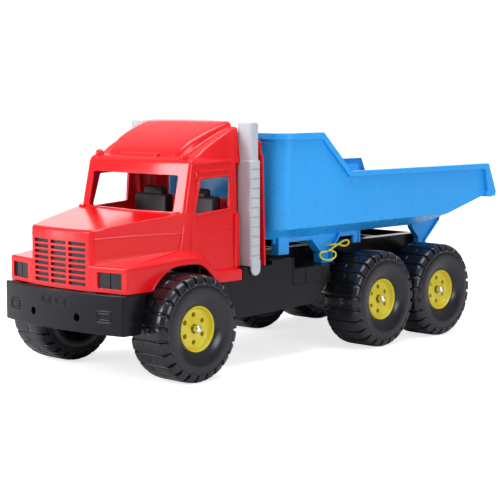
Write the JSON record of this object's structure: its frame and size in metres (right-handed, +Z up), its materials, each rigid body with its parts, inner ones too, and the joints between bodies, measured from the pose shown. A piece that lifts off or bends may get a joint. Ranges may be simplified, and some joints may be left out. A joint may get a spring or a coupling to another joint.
{
  "type": "toy dump truck",
  "caption": "Large plastic toy dump truck with a bonneted cab, three axles on chunky free-rolling wheels and a hinged load body that tips to the rear.",
  "frame": {"origin": "centre of the bounding box at floor level, the wheels standing on z = 0", "axes": "-Y is the direction the truck faces, +X is the truck's left side, +Z is up"},
  "size_m": [0.316, 0.8247, 0.3445],
  "materials": {
    "red_plastic": "gloss",
    "blue_plastic": "gloss",
    "black_plastic": "satin",
    "seat_plastic": "satin",
    "dark_grey_plastic": "satin",
    "grey_plastic": "satin",
    "tyre_plastic": "satin",
    "yellow_plastic": "gloss",
    "yellow_wire": "satin",
    "steel": "satin",
    "cap_metal": "polished"
  },
  "bodies": {
    "chassis": {"chassis": "black_plastic", "cab_shell": "red_plastic", "lamp_insert": "dark_grey_plastic", "seat_insert": "seat_plastic", "exhaust_left": "grey_plastic", "exhaust_right": "grey_plastic", "hinge_pin_left": "black_plastic", "hinge_pin_right": "black_plastic", "cab_screws": "steel", "axle_front": "steel", "axle_mid": "steel", "axle_rear": "steel", "cap_front_left": "cap_metal", "cap_front_right": "cap_metal", "cap_mid_left": "cap_metal", "cap_mid_right": "cap_metal", "cap_rear_left": "cap_metal", "cap_rear_right": "cap_metal"},
    "tipper": {"tipper_body": "blue_plastic", "tie_wire": "yellow_wire"},
    "wheel_front_left": {"tyre_front_left": "tyre_plastic", "rim_front_left": "yellow_plastic"},
    "wheel_front_right": {"tyre_front_right": "tyre_plastic", "rim_front_right": "yellow_plastic"},
    "wheel_mid_left": {"tyre_mid_left": "tyre_plastic", "rim_mid_left": "yellow_plastic"},
    "wheel_mid_right": {"tyre_mid_right": "tyre_plastic", "rim_mid_right": "yellow_plastic"},
    "wheel_rear_left": {"tyre_rear_left": "tyre_plastic", "rim_rear_left": "yellow_plastic"},
    "wheel_rear_right": {"tyre_rear_right": "tyre_plastic", "rim_rear_right": "yellow_plastic"}
  },
  "joints": [
    {"name": "tip", "type": "hinge", "parent": "chassis", "child": "tipper", "pos_m": [0, 0.2845, 0.128], "axis": [-1, 0, 0], "range_deg": [0, 50]},
    {"name": "spin_front_left", "type": "hinge", "parent": "chassis", "child": "wheel_front_left", "pos_m": [0.12, -0.29, 0.0725], "axis": [1, 0, 0], "continuous": true},
    {"name": "spin_front_right", "type": "hinge", "parent": "chassis", "child": "wheel_front_right", "pos_m": [-0.12, -0.29, 0.0725], "axis": [1, 0, 0], "continuous": true},
    {"name": "spin_mid_left", "type": "hinge", "parent": "chassis", "child": "wheel_mid_left", "pos_m": [0.12, 0.1, 0.0725], "axis": [1, 0, 0], "continuous": true},
    {"name": "spin_mid_right", "type": "hinge", "parent": "chassis", "child": "wheel_mid_right", "pos_m": [-0.12, 0.1, 0.0725], "axis": [1, 0, 0], "continuous": true},
    {"name": "spin_rear_left", "type": "hinge", "parent": "chassis", "child": "wheel_rear_left", "pos_m": [0.12, 0.247, 0.0725], "axis": [1, 0, 0], "continuous": true},
    {"name": "spin_rear_right", "type": "hinge", "parent": "chassis", "child": "wheel_rear_right", "pos_m": [-0.12, 0.247, 0.0725], "axis": [1, 0, 0], "continuous": true}
  ]
}
